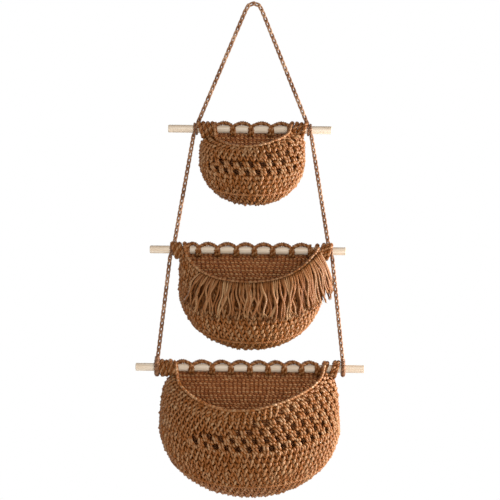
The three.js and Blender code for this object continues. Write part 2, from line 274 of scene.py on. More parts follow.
def chain(path):
    """Chain links along a path in the XZ plane. A link is the loop C + a T cos t + w L sin t + d Y cos t
    with half length a, half width w and a lean d, which takes its lower end behind the next link and its
    upper end before it. The end behind the next link is painted darker and the end before it lighter,
    as painted shade and light."""
    knots = spaced(path, LINK_PITCH)
    centre = (knots[1:] + knots[:-1]) / 2
    along = np.diff(knots, axis=0)
    along = along / np.linalg.norm(along, axis=1, keepdims=True)
    across = np.cross(along, (0, 1, 0))
    t = np.linspace(0, 2 * np.pi, LINK_POINTS, endpoint=False)
    half_long = LINK_PITCH / 2 + LINK_OVERLAP
    half_wide = LINK_HALF * (1 + LINK_PEAR * np.cos(t))
    loop = centre[:, None] + along[:, None] * (half_long * np.cos(t))[None, :, None]
    loop = loop + across[:, None] * (half_wide * np.sin(t))[None, :, None]
    loop[:, :, 1] -= LINK_LEAN * np.cos(t)
    tone = PLAIN_TONE + LINK_TONE_SPREAD * rng.standard_normal((len(centre), 1))
    # Painted shade and light: darker where the link goes behind the next, lighter where it lies before
    # it.
    tone = tone + LINK_BEHIND_SHADE * np.cos(t)
    return tubes(loop, CHAIN_YARN / 2, (0, -1, 0), 6, tone, closed=True)


def rope(path, radius, up, twist_mm, tone, sides=6):
    """Two yarns laid round each other along a path: each stands off it by half the rope's radius, in a
    direction that turns once in twist_mm."""
    along = np.gradient(path, axis=0)
    along = along / np.linalg.norm(along, axis=1, keepdims=True)
    side = np.cross(along, np.broadcast_to(up, path.shape))
    side = side / np.linalg.norm(side, axis=1, keepdims=True)
    out = np.cross(side, along)
    turn = 2 * np.pi * arc_length(path) / twist_mm + np.array([[0], [np.pi]])
    stand_off = np.cos(turn)[:, :, None] * out + np.sin(turn)[:, :, None] * side
    return tubes(path + radius / 2 * stand_off, ROPE_YARN_SHARE * radius, out[None], sides, tone)


def dowel_loop(x, z, toward, shift, cord=EYE_YARN):
    """The loop at a chain's end: a circle of doubled yarn round the dowel, drawn out to a point towards
    the chain, as the radius R + p e**(-(a / w)**2) at the angle a from the chain's side. Away from that
    side it moves over by shift, close to the next chain's loop."""
    a = np.linspace(-np.pi, np.pi, 60)
    radius = EYE_RADIUS + (cord - EYE_YARN) / 2 + EYE_POINT * np.exp(-(a / EYE_POINT_ANGLE) ** 2)
    moved = x + shift * (1 - np.exp(-(a / EYE_SHIFT_ANGLE) ** 2))
    path = np.stack([moved, radius * np.sin(a), z + toward * radius * np.cos(a)], 1)
    # One yarn of the loop is painted darker than the other, as painted shade that makes the twist show.
    return rope(path, cord / 2, (1, 0, 0), EYE_TWIST, EYE_PLY_SHADE_TONES)


chain_cotton = cotton_yarn("chain_cotton", "#3E2210", "#8C5F3E", "#BC9472", ply_mm=3.2, sheen=0.12)


def hang(name, path, loops, body, cad_node):
    """A chain along the path, with its loops as a piece of their own."""
    cord = piece(name, [chain(path)], chain_cotton, body, "chain_cord", cad_node)
    ends = piece(f"{name}_loops", [dowel_loop(*loop) for loop in loops], chain_cotton, body, "chain_cord")


top, middle, bottom = TIERS["top"], TIERS["middle"], TIERS["bottom"]
foot_x = top["span"] - EYE_SPREAD / 2
foot_z = top["z"] + EYE_RADIUS
bend_z = CHAIN_WIDTH / 2 - SLING_BEND
leg = np.sqrt(foot_x ** 2 + (bend_z - foot_z) ** 2 - SLING_BEND ** 2)
lean = np.arctan2(foot_x, bend_z - foot_z) - np.arctan2(SLING_BEND, leg)
turns = np.linspace(lean - np.pi / 2, np.pi / 2 - lean, 17)
bend = np.stack([SLING_BEND * np.sin(turns), 0 * turns, bend_z + SLING_BEND * np.cos(turns)], 1)
shares = np.linspace(0, 1, 30)[:, None]
left_foot = np.array([-foot_x, 0, foot_z])
right_foot = np.array([foot_x, 0, foot_z])
sling_path = np.concatenate([left_foot + shares * (bend[0] - left_foot), bend[1:-1],
                             bend[-1] + shares * (right_foot - bend[-1])])
closer = EYE_SPREAD / 2 - EYE_APART
hang("hanging_chain", sling_path, [(-foot_x, top["z"], 1, -closer), (foot_x, top["z"], 1, closer)],
     "sling", "hanging_sling")

for lower_name, upper, lower in (("middle", top, middle), ("bottom", middle, bottom)):
    for side_name, side in (("left", -1), ("right", 1)):
        start = np.array([side * (upper["span"] + EYE_SPREAD / 2), 0, upper["z"] - EYE_RADIUS])
        finish = np.array([side * (lower["span"] - EYE_SPREAD / 2), 0, lower["z"] + EYE_RADIUS])
        last_loop = (0, LAST_EYES[side_name]) if lower_name == "bottom" else (side * closer,)
        hang(f"{lower_name}_{side_name}_chain", start + shares * (finish - start),
             [(start[0], upper["z"], -1, -side * closer), (finish[0], lower["z"], 1, *last_loop)],
             f"{lower_name}_cords", f"{lower_name}_{side_name}_cord")


# The dowels: turned and sanded pine, pale and unvarnished, with the grain along their length. They lie
# loose in the loops of the cords.
PINE_GRAIN = 2.2
PINE_STREAK = 60.0
PINE_RELIEF = 0.2


def sanded_pine(name):
    """Bare sanded pine: pale straw with faint early and late wood, and a silky rather than glossy
    surface. The grain is noise of PINE_GRAIN across, drawn out to PINE_STREAK along X."""
    made, tree, surface = new_material(name)
    place = node(tree, "ShaderNodeTexCoord").outputs["Object"]
    scale = tuple(1 / (size * MM) for size in (PINE_STREAK, PINE_GRAIN, PINE_GRAIN))
    drawn = node(tree, "ShaderNodeMapping", {"Vector": place, "Scale": scale})
    grain = node(tree, "ShaderNodeTexNoise",
                 {"Vector": drawn.outputs[0], "Scale": 1.0, "Detail": 4.0, "Roughness": 0.6,
                  "Distortion": 0.4})
    ramp = node(tree, "ShaderNodeValToRGB", {"Fac": grain.outputs["Fac"]})
    ramp.color_ramp.elements[0].position = 0.3
    ramp.color_ramp.elements[0].color = linear("#CBB193")
    ramp.color_ramp.elements[1].position = 0.68
    ramp.color_ramp.elements[1].color = linear("#E2D3BF")
    bump = node(tree, "ShaderNodeBump",
                {"Height": grain.outputs["Fac"], "Strength": 0.2, "Distance": PINE_RELIEF * MM})
    shader = node(tree, "ShaderNodeBsdfPrincipled",
                  {"Base Color": ramp.outputs["Color"], "Normal": bump.outputs[0], "Roughness": 0.55,
                   "Specular IOR Level": 0.4})
    tree.links.new(shader.outputs[0], surface)
    return made


pine = sanded_pine("sanded_pine")
for name in TIERS:
    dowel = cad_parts[f"{name}_dowel"]
    dowel.data.materials.clear()
    dowel.data.materials.append(pine)


# The back panels: flat pieces of close crochet with the outline of the pouch in front of them, worked in
# rows. A stitch shows as two short ridges of cross yarn on the inside and as one on the back. The rows'
# counts go up in a cycle of three, so that the stitches don't stand in columns.
POUCHES = {
    "top": dict(width=81.0, rim_width=62.0, depth=75.0, rim_depth=70.0,
                equator=41.5, bowl=68.0, slope=0.345, draw=0.0),
    "middle": dict(width=110.1, rim_width=105.9, depth=95.1, rim_depth=89.1,
                   equator=52.5, bowl=82.8, slope=0.44, draw=0.0),
    "bottom": dict(width=137.9, rim_width=115.85, depth=116.9, rim_depth=114.1,
                   equator=80.5, bowl=94.15, slope=0.37, draw=0.2),
}
BELLY = 0.94
RIM_TURN = 6
WALL = 10.4
FABRIC = 5.0
SEAM = 5.3
WINDINGS = 10.7
RIM_TOP = -np.sqrt(WINDINGS ** 2 - (WALL - SEAM) ** 2)
PANEL_Y = WALL - FABRIC / 2
PANEL_STITCH_WIDTH = 6.6
PANEL_STITCH_HEIGHT = 6.1
PANEL_CYCLE = 3
PANEL_YARN_SHARE = 0.82
PANEL_RISE = 4.0
PANEL_FOOT = 1.0
PANEL_CORE = 1.2
# The panel's middle sheet is painted a little darker than plain, as painted shade in the gaps between its
# stitches.
PANEL_CORE_SHADE_TONE = 0.38
RIDGE = np.array([[(-0.50, 0, -0.6), (-0.2, 0.05, 0.8), (0.2, -0.05, 0.8), (0.50, 0, -0.6)]])
RIDGE_RADIUS = np.array([1.1, 1.7, 1.7, 1.1])
# A ridge is painted dark at its ends, where it goes into the fabric, as painted shade, and light on its
# crown as painted highlight; the lower, deeper ridge of a pair is painted darker still, as painted shade.
RIDGE_SHADE_AND_LIGHT = np.array([-0.2, 0.12, 0.12, -0.2])
BUMPS = np.concatenate([RIDGE + (0, 0.28, 1.0), RIDGE + (0, -0.25, 0.6)])
BUMP_SHADE_AND_LIGHT = np.array([[-0.20, 0.20, 0.20, -0.20], [-0.38, 0.02, 0.02, -0.38]])
STITCH_OFF = 0.045
STITCH_TURN = 0.09
STITCH_SWELL = 0.18
STITCH_TONE = 0.05
STITCH_PLUMP = 0.07


def stitches(shape, radius, tones, place, across, up, out, sides=5):
    """Copies of one stitch. Its point (x, y, z) goes to place + x across + y up + z out, with across and
    up as long as the stitch is wide and high, each copy a little off its place, turned and shaded on its
    own."""
    count = len(place)
    off = rng.normal(0, STITCH_OFF, (2, count, 1))
    turn = rng.normal(0, STITCH_TURN, (count, 1))
    place = place + off[0] * across + off[1] * up
    across, up = across + turn * up, up - turn * across
    axes = np.stack([across, up, out], 1)
    axes[:, 2:] *= 1 + rng.normal(0, STITCH_SWELL, (count, 1, 1))
    points = place[:, None, None] + np.einsum("ypk,nkx->nypx", shape, axes)
    points = points.reshape(-1, shape.shape[1], 3)
    yarns = shape.shape[0]
    normals = np.repeat(out, yarns, 0)[:, None]
    size = (count, yarns, shape.shape[1])
    tone = np.broadcast_to(PLAIN_TONE + tones, size) + rng.normal(0, STITCH_TONE, (count, yarns, 1))
    plump = np.broadcast_to(radius, size) * (1 + rng.normal(0, STITCH_PLUMP, (count, yarns, 1)))
    return tubes(points, plump.reshape(points.shape[:2]), normals, sides, tone.reshape(points.shape[:2]))


def wall_height(pouch):
    """Height of a pouch's walls at the seams, from its widest round to the rim."""
    return RIM_TOP + pouch["slope"] * SEAM + pouch["equator"]


def round_of(pouch, v):
    """Half-width, depth and height of a pouch's round: v goes from 0, the pole, over 1, where it is
    widest, to 2, the rim. Below 1 it is a quarter oval, as wide as sin ** BELLY and as high as cos;
    above, the walls draw in, the share draw of it as v - 1 and the rest as (v - 1) ** RIM_TURN."""
    turn = np.minimum(v, 1) * np.pi / 2
    rise = np.maximum(v - 1, 0)
    belly = np.maximum(np.sin(turn), 0) ** BELLY
    narrow = pouch["draw"] * rise + (1 - pouch["draw"]) * rise ** RIM_TURN
    width = np.where(v < 1, pouch["width"] * belly,
                     pouch["width"] - (pouch["width"] - pouch["rim_width"]) * narrow)
    depth = np.where(v < 1, pouch["depth"] * belly,
                     pouch["depth"] - (pouch["depth"] - pouch["rim_depth"]) * narrow)
    below = np.where(v < 1, pouch["bowl"] * np.cos(turn), -wall_height(pouch) * rise)
    return width, depth, -pouch["equator"] - below


def sheet(outer, inner, tone):
    """A closed sheet between two grids of points: both faces and the four edges."""
    rows, columns = outer.shape[:2]
    a = np.arange(rows * columns).reshape(rows, columns)
    b = a + rows * columns

    def strip(p, q):
        """Quads between two rows of corners."""
        return np.stack([p[:-1], p[1:], q[1:], q[:-1]], -1).reshape(-1, 4)

    def face(g):
        """Quads of a grid of corners."""
        return np.stack([g[:-1, :-1], g[:-1, 1:], g[1:, 1:], g[1:, :-1]], -1).reshape(-1, 4)

    faces = np.concatenate([face(a), face(b)[:, ::-1], strip(b[0], a[0]), strip(a[-1], b[-1]),
                            strip(a[:, 0], b[:, 0]), strip(b[:, -1], a[:, -1])])
    points = np.concatenate([outer.reshape(-1, 3), inner.reshape(-1, 3)])
    return points, np.full(len(points), tone), [(faces, np.zeros((*faces.shape, 2)))]


# The panel's yarn is the pocket's, painted brighter and warmer as painted light bounced round inside the
# basket.
panel_bounce_lit_cotton = cotton_yarn("panel_bounce_lit_cotton", "#341204", "#A05E2E", "#C49262", ply_mm=3.0, sheen=0.0)
half_core = np.array([0, PANEL_CORE / 2, 0])
for name, pouch in POUCHES.items():
    z0 = TIERS[name]["z"]
    width, _, height = round_of(pouch, np.linspace(0, 2, 120))
    height = height - pouch["slope"] * SEAM
    height[-1] += PANEL_RISE
    rows = int(round((height[-1] - height[0]) / PANEL_STITCH_HEIGHT))
    tall = (height[-1] - height[0]) / rows
    row_z = height[0] + tall * (np.arange(rows) + 0.5)
    half = np.interp(row_z, height, width)
    counts = np.maximum(np.round(2 * half / PANEL_STITCH_WIDTH), 1).astype(int)
    counts = counts + np.arange(rows) % PANEL_CYCLE
    x = np.concatenate([h * ((2 * np.arange(n) + 1) / n - 1) for h, n in zip(half, counts)])
    wide = np.repeat(2 * half / counts, counts)[:, None]
    place = np.stack([x, np.full_like(x, PANEL_Y), z0 + np.repeat(row_z, counts)], 1)
    across = wide * (1, 0, 0)
    up = tall * np.ones_like(wide) * (0, 0, 1)
    front = np.ones_like(wide) * (0, -1, 0)
    edge = np.linspace(height[0] + PANEL_FOOT, height[-1], 40)
    span = np.interp(edge, height, width)[:, None] * np.linspace(-1, 1, 40)
    core = np.stack(np.broadcast_arrays(span, PANEL_Y, z0 + edge[:, None]), -1)
    parts = [stitches(BUMPS, PANEL_YARN_SHARE * RIDGE_RADIUS, BUMP_SHADE_AND_LIGHT, place, across, up, front),
             stitches(RIDGE, RIDGE_RADIUS, RIDGE_SHADE_AND_LIGHT, place + 0.5 * up, -across, up, -front),
             sheet(core - half_core, core + half_core, PANEL_CORE_SHADE_TONE)]
    piece(f"{name}_back", parts, panel_bounce_lit_cotton, f"{name}_basket", "crocheted_yarn", f"{name}_back_panel")


# The front pockets: the bellied walls of the baskets, crocheted in rounds from the foot of the back. The
# lower rounds are plain, with a ridge round the base; below the rim, the top and the bottom basket have
# rounds of open mesh. A cord joins pocket and panel, and the rim's corners are drawn up to the dowel.
LIFTS = {
    "top": ((0.6, 0.50, 0.50, 2.0), (11.2, 0.00, 1.60, 2.25), 3.1),
    "middle": ((16.0, 0.00, 0.63, 2.45), (19.2, 0.39, 0.52, 1.5), 1.1),
    "bottom": ((1.3, 0.50, 0.20, 2.0), (11.9, 0.90, 0.85, 2.5), 8.9),
}
LIFT_POWER = 1.5
PROFILE_ANGLES = (0.9, 1.57, 2.24)
POLE = 0.012
FIRST_ROUND = 0.05
ROUND_SHIFT = 0.24
STITCH_WIDTH = 9.4
STITCH_HEIGHT = 7.3
STITCH_INSET = 3.0
CORE_OUTER = 3.2
CORE_INNER = 3.8
CORE_ROWS = 24
# Painted shade: the sheet behind the pocket's stitches is painted dark.
CORE_SHADE_TONE = 0.12
ROPE_STEP = 1.6
BASE_RIDGES = {"top": 0.62, "middle": 0.62, "bottom": 0.69}
BASE_END = 0.25
BASE_CORD = 3.8
BASE_TWIST = 7.0
BASE_TONE = 0.54
SEAM_CORD = 4.4
SEAM_INSET = 2.2
SEAM_Y = 6.4
SEAM_LOW = 0.05
SEAM_TWIST = 7.0
SEAM_TONE = 0.40
MESH_WIDTH = 16.7
MESHES = {
    "top": dict(tall=11.8, below_rim=1.3, closed=(0.57, 0.72, 1.75, 2.2)),
    "bottom": dict(tall=12.4, below_rim=3.3, closed=(0.87, 0.99, 1.33, 1.59, 1.9)),
}
MESH_SEAM = 0.04
MESH_INSET = 2.6
BAR_WAVE = 1.7
BAR_LAP = 0.05
BAR_INSET = 3.2
BAR_STEP = 1.5
BAR_CORD = 4.0
BAR_TWIST = 8.3
# The bars' rope is painted dark, as painted shade, where it lies deep under the strokes.
BAR_SHADE_TONE = 0.25
BAR_STROKES = 4
BAR_STITCH = 0.50
POST_SLANT = 3.2
POST_HEIGHT = 0.90
POST_BULGE = 3.2
POST_APART = 2.3
POST_BEHIND = 0.4
STROKE_BULGE = 2.4
STRAND_SUNK = 0.5

# A plain stitch is a V of two legs, and the right one stands out more. Each leg is painted dark at its
# roots as painted shade and light on its crown as painted highlight, and the right leg is painted
# lighter than the left, as painted light from the right. An open stitch is a post of two slanted
# strands, and a bar is bound by short slanted strokes.
LEG = np.array([(0.05, -0.64, -0.6), (0.13, -0.34, 1.3), (0.23, 0.02, 2.3), (0.33, 0.36, 1.6),
                (0.41, 0.62, -0.4)])
V_STITCH = np.stack([LEG * (-1, 1, 0.7), LEG * (1, 1, 1.2)])
V_RADIUS = np.array([1.1, 1.55, 1.75, 1.6, 1.1]) * [[0.9], [1.15]]
V_SHADE_AND_LIGHT = np.array([-0.14, 0.0, 0.05, 0.02, -0.12]) + [[-0.03], [0.06]]
rise = np.linspace(0, 1, 6)
POST = np.stack([-POST_SLANT * (2 * rise - 1), POST_HEIGHT * rise - POST_HEIGHT / 2,
                 -STRAND_SUNK + POST_BULGE * np.sin(np.pi * rise)], 1)
POSTS = np.stack([POST - (POST_APART, 0, POST_BEHIND), POST + (POST_APART, 0, 0)]) / (MESH_WIDTH, 1, 1)
POST_RADIUS = np.array([1.0, 1.7, 1.9, 1.9, 1.7, 1.0])
# Posts and strokes are painted dark at their ends, where they go under, as painted shade, and light in
# the middle as painted highlight.
POST_SHADE_AND_LIGHT = np.array([-0.35, -0.02, 0.12, 0.12, -0.02, -0.35])
STROKE = np.stack([-0.5 * (2 * rise - 1), rise - 0.5,
                   -STRAND_SUNK + STROKE_BULGE * np.sin(np.pi * rise)], 1)[None]
STROKE_RADIUS = np.array([0.9, 1.4, 1.6, 1.6, 1.4, 0.9])


def pull(name, phi):
    """How far the rim is drawn up at the angle phi: from each corner, h e**(-(past / r)**p) beyond an
    angle, with its own h, r and p left and right, less a sag of s sin(phi)**4."""
    left, right, sag = LIFTS[name]
    total = -sag * np.sin(phi) ** 4
    for (high, start, reach, power), angle in ((left, phi), (right, np.pi - phi)):
        total = total + high * np.exp(-(np.maximum(angle - start, 0) / reach) ** power)
    return total


def pouch_point(name, phi, v, inset=0.0):
    """A point of the pocket: phi from 0, the left seam, round the front to pi, the right seam. The
    round's half oval tilts forwards by slope; above the widest round the rim's pull lifts it by
    (v - 1) ** LIFT_POWER, but never into the windings on the dowel."""
    pouch = POUCHES[name]
    width, depth, height = round_of(pouch, v)
    out = SEAM + (depth - inset) * np.sin(phi)
    x = -(width - inset) * np.cos(phi)
    y = WALL - out
    z = height - pouch["slope"] * out
    lifted = z + pull(name, phi) * np.maximum(v - 1, 0) ** LIFT_POWER
    under = np.where(np.abs(y) < WINDINGS, -np.sqrt(np.maximum(WINDINGS ** 2 - y ** 2, 0)), lifted)
    behind = np.where(y > -WINDINGS, np.minimum(lifted, np.maximum(under, z)), lifted)
    return np.stack(np.broadcast_arrays(x, y, TIERS[name]["z"] + behind), -1)


def pouch_axes(name, phi, v):
    """Directions on the pocket, from small differences: across (to larger phi), up (to larger v) and
    outwards."""
    step = 1e-3
    across = pouch_point(name, phi + step, v) - pouch_point(name, phi - step, v)
    up = pouch_point(name, phi, v + step) - pouch_point(name, phi, v - step)
    across = across / np.linalg.norm(across, axis=-1, keepdims=True)
    up = up / np.linalg.norm(up, axis=-1, keepdims=True)
    out = np.cross(across, up)
    return across, up, out / np.linalg.norm(out, axis=-1, keepdims=True)


def heights(name, v_low, v_high):
    """Length of the pocket's profile from v_low, at even steps of v up to v_high: the mean of the
    profiles at the front and to both sides of it."""
    v = np.linspace(v_low, v_high, 160)
    lines = np.stack([pouch_point(name, np.full_like(v, phi), v) for phi in PROFILE_ANGLES])
    steps = np.linalg.norm(np.diff(lines, axis=1), axis=2).mean(0)
    return v, np.concatenate([[0], steps.cumsum()])


def along_round(name, v, phi_from, phi_to):
    """Angles along one round, and the share of its length from phi_from to each; and that whole
    length."""
    phi = np.linspace(phi_from, phi_to, 240)
    s = arc_length(pouch_point(name, phi, np.full_like(phi, v)))
    return phi, s / s[-1], s[-1]


def rounds(name, v_low, v_high, tall, phi_to):
    """Places of the stitches in the rounds from v_low to v_high: equal heights along the profile, and in
    each round equal widths along it up to phi_to, ROUND_SHIFT of a stitch further on than in the round
    below. Returns phi, v, width and height for each stitch."""
    v, length = heights(name, v_low, v_high)
    count = max(int(round(length[-1] / tall)), 1)
    found = []
    for i in range(count):
        row_v = np.interp((i + 0.5) / count * length[-1], length, v)
        phi, share, whole = along_round(name, row_v, 0, phi_to)
        number = max(int(round(whole / STITCH_WIDTH)), 1)
        each = np.ones(number)
        at = np.arange(number) + (0.5 + ROUND_SHIFT * i) % 1
        found.append([np.interp(at / number, share, phi), row_v * each, whole / number * each,
                      length[-1] / count * each])
    return np.concatenate(found, 1)


def on_pouch(name, spots, inset, outwards=1):
    """Place and axes of stitches at the given spots, at a depth under the pocket's outer face."""
    phi, v, wide, tall = spots
    across, up, out = pouch_axes(name, phi, v)
    place = pouch_point(name, phi, v) - inset * out
    return place, outwards * wide[:, None] * across, tall[:, None] * up, outwards * out


def plain(name, spots):
    """Plain stitches at the given spots."""
    return stitches(V_STITCH, V_RADIUS, V_SHADE_AND_LIGHT, *on_pouch(name, spots, STITCH_INSET))


def core_of(name, v_low, v_high, phi_from, phi_to):
    """The closed sheet behind plain stitches, in the middle of the fabric, painted dark as painted shade
    in the gaps between them.
    """
    v = np.linspace(v_low, v_high, max(int((v_high - v_low) * CORE_ROWS), 4))
    v, phi = np.meshgrid(v, np.linspace(phi_from, phi_to, 60), indexing="ij")
    return sheet(pouch_point(name, phi, v, CORE_OUTER), pouch_point(name, phi, v, CORE_INNER), CORE_SHADE_TONE)


def open_mesh(name, v_low, v_high, closed):
    """Rounds of open mesh in brick order: each post stands on the middle of a bar between the posts of
    the round below. The bars wave by BAR_WAVE cos of their place, high under the posts above and low
    over those below, and BAR_STROKES strokes for each post lie along them. Up to the angle in closed, a
    round is of plain stitches, two deep."""
    count = len(closed)
    first = MESH_SEAM
    last = np.pi - MESH_SEAM
    number = int(round(along_round(name, (v_low + v_high) / 2, first, last)[2] / MESH_WIDTH))
    strokes = BAR_STROKES * number
    v, length = heights(name, v_low, v_high)
    tall = length[-1] / count
    parts = []
    for i in range(count + 1):
        level = np.interp(i / count * length[-1], length, v)
        start = closed[min(i, count - 1)]
        phi, share, whole = along_round(name, level, first, last)
        beat = share * number - 0.5 - 0.5 * (i % 2)
        wave = BAR_WAVE * np.cos(2 * np.pi * beat) * (v_high - v_low) / length[-1]
        bar = phi > start - BAR_LAP
        path = spaced(pouch_point(name, phi, np.minimum(level + wave, 2), BAR_INSET)[bar], BAR_STEP)
        along = np.linspace(share[bar][0], 1, len(path))
        outward = pouch_axes(name, np.interp(along, share, phi), np.full(len(path), level))[2]
        parts.append(rope(path, BAR_CORD / 2, outward, BAR_TWIST, BAR_SHADE_TONE, sides=5))
        angle = np.interp((np.arange(strokes) + 0.5) / strokes, share, phi)
        angle = angle[angle > start]
        stroke_v = np.minimum(level + np.interp(angle, phi, wave), 2)
        spots = np.broadcast_arrays(angle, stroke_v, whole / strokes, BAR_STITCH * tall)
        parts.append(stitches(STROKE, STROKE_RADIUS, POST_SHADE_AND_LIGHT, *on_pouch(name, spots, MESH_INSET)))
        if i < count:
            row_v = np.interp((i + 0.5) / count * length[-1], length, v)
            next_v = np.interp((i + 1) / count * length[-1], length, v) if i < count - 1 else 2.0
            at = np.arange(number - i % 2) + 0.5 + 0.5 * (i % 2)
            angle = np.interp(at / number, share, phi)
            angle = angle[angle > start]
            spots = np.broadcast_arrays(angle, row_v, whole / number, tall)
            parts.append(stitches(POSTS, POST_RADIUS, POST_SHADE_AND_LIGHT, *on_pouch(name, spots, MESH_INSET)))
            parts.append(plain(name, rounds(name, level, next_v, tall / 2, start)))
            parts.append(core_of(name, level, next_v, 0, start))
    return parts


basket_cotton = cotton_yarn("basket_cotton", "#301000", "#884E1A", "#AE8B64", ply_mm=3.0, sheen=0.0)
for name in POUCHES:
    v_mesh = 2.0
    parts = []
    if name in MESHES:
        mesh = MESHES[name]
        v, length = heights(name, FIRST_ROUND, 2)
        v_top = np.interp(length[-1] - mesh["below_rim"], length, v)
        mesh_height = len(mesh["closed"]) * mesh["tall"]
        v_mesh = np.interp(length[-1] - mesh["below_rim"] - mesh_height, length, v)
        parts += open_mesh(name, v_mesh, v_top, mesh["closed"])
    parts.append(core_of(name, POLE, v_mesh, 0, np.pi))
    spots = rounds(name, FIRST_ROUND, v_mesh, STITCH_HEIGHT, np.pi)
    parts.append(plain(name, spots))
    inside = on_pouch(name, spots, STITCH_INSET, -1)
    parts.append(stitches(RIDGE, RIDGE_RADIUS, RIDGE_SHADE_AND_LIGHT, *inside, sides=4))
    phi = np.linspace(BASE_END, np.pi - BASE_END, 200)
    ridge_at = np.full_like(phi, BASE_RIDGES[name])
    path = spaced(pouch_point(name, phi, ridge_at), ROPE_STEP)
    nearest = np.linspace(0, len(phi) - 1, len(path)).astype(int)
    outward = pouch_axes(name, phi, ridge_at)[2][nearest]
    parts.append(rope(path, BASE_CORD / 2, outward, BASE_TWIST, BASE_TONE, sides=5))
    v = np.linspace(2, SEAM_LOW, 100)
    seam = np.concatenate([pouch_point(name, 0.0, v, SEAM_INSET),
                           pouch_point(name, np.pi, v[::-1], SEAM_INSET)])
    seam[:, 1] = SEAM_Y
    parts.append(rope(spaced(seam, ROPE_STEP), SEAM_CORD / 2, (0, -1, 0), SEAM_TWIST, SEAM_TONE, sides=5))
    piece(f"{name}_pocket", parts, basket_cotton, f"{name}_basket", "crocheted_yarn",
          f"{name}_front_pocket")


# The rims: an edge of slip stitches over a doubled yarn along the top round, whose ends climb to the
# front of the dowel.
RIM_CORD = 4.6
RIM_TWIST = 9.0
RIM_TONE = 0.45
RIM_STITCH = 6.6
RIM_WIDTH = 3.8
RIM_RISE = 0.2
RIM_END = 3.0
RIM_CLIMB_ANGLE = 0.10
RIM_UP = (0, -0.3, 1)
RIM_OUT = np.array([0, -0.75, 0.66])
for name, pouch in POUCHES.items():
    first = np.arcsin((WALL - SEAM + WALL + RIM_CORD / 2) / pouch["rim_depth"])
    phi = np.linspace(first, np.pi - first, 400)
    path = pouch_point(name, phi, np.full_like(phi, 2.0), FABRIC / 2) + (0, 0, RIM_RISE)
    for end, past in ((path[0, 2], phi - first), (path[-1, 2], np.pi - first - phi)):
        path[:, 2] += (TIERS[name]["z"] + RIM_END - end) * np.exp(-(past / RIM_CLIMB_ANGLE) ** 2)
    spots = spaced(path, RIM_STITCH)
    along = np.gradient(spots, axis=0)
    side = np.cross(along, RIM_OUT)
    side = RIM_WIDTH * side / np.linalg.norm(side, axis=1)[:, None]
    out = np.tile(RIM_OUT, (len(spots), 1))
    parts = [rope(spaced(path, ROPE_STEP), RIM_CORD / 2, RIM_UP, RIM_TWIST, RIM_TONE),
             stitches(V_STITCH, V_RADIUS, V_SHADE_AND_LIGHT, spots, side, along, out)]
    piece(f"{name}_rim", parts, basket_cotton, f"{name}_basket", "crocheted_yarn", f"{name}_rim_edging")


# The headings: loops of doubled yarn that hold the panel to its dowel. Each yarn comes up the front of
# the dowel as a post, goes over its top in an arch, and down behind to the next post; a second yarn does
# so the other way.
HEADINGS = {
    "top": (-58.7, -30.1, -2.1, 28.3, 57.5),
    "middle": (-98.5, -80.8, -51.8, -22.6, 4.7, 32.7, 61.7, 91.0),
    "bottom": (-116.0, -89.4, -57.7, -29.1, -0.3, 27.4, 52.0, 78.5, 103.4),
}
WRAP_RADIUS = 8.4
WRAP_POINTS = 60
HEADING_CORD = 5.6
HEADING_TWIST = 8.0
HEADING_STEP = 1.5
HEADING_BEFORE = 0.25
HEADING_SHORT = 0.55
ARCH_START = 0.25
ARCH_RISE = 0.2
ARCH_APART = 1.7
POST_HALF = 2.2
# One yarn of each rope is painted darker than the other, as painted shade that makes its twist show.
PLY_SHADE_TONES = np.array([[0.34], [0.60]])


def smooth(x):
    """0 to 1 as 3 x**2 - 2 x**3."""
    x = np.clip(x, 0, 1)
    return x * x * (3 - 2 * x)


def heading_path(posts, z, way):
    """The winding's middle line: at turn t it is at the angle 2 pi t round the dowel (0 below, a quarter
    in front), and it moves on to the next post while it crosses the dowel's top. way is 1 from left to
    right and -1 from right to left, where it crosses over the other yarn."""
    count = len(posts)
    turn = np.linspace(-HEADING_BEFORE, count - HEADING_SHORT, count * WRAP_POINTS)
    post = np.minimum(np.floor(turn + HEADING_BEFORE), count - 1)
    part = turn - post
    over = np.clip((part - ARCH_START) / (1 - 2 * ARCH_START), 0, 1)
    place = post + np.where(post < count - 1, (smooth(over) + over) / 2, 0)
    place = np.where(way > 0, place, count - 1 - place)
    rise = ARCH_RISE + (ARCH_APART if way < 0 else 0)
    radius = WRAP_RADIUS + rise * (1 - np.abs(2 * over - 1))
    x = np.interp(place, np.arange(count), posts) - way * POST_HALF * np.cos(np.pi * smooth(over))
    angle = 2 * np.pi * turn
    return np.stack([x, -radius * np.sin(angle), z - radius * np.cos(angle)], 1)


for name, posts in HEADINGS.items():
    z0 = TIERS[name]["z"]
    loops = []
    for way in (1, -1):
        path = spaced(heading_path(posts, z0, way), HEADING_STEP)
        from_dowel = path * (0, 1, 1) - (0, 0, z0)
        loops.append(rope(path, HEADING_CORD / 2, from_dowel, HEADING_TWIST, PLY_SHADE_TONES))
    piece(f"{name}_heading_loops", loops, basket_cotton, f"{name}_basket", "crocheted_yarn",
          f"{name}_heading")


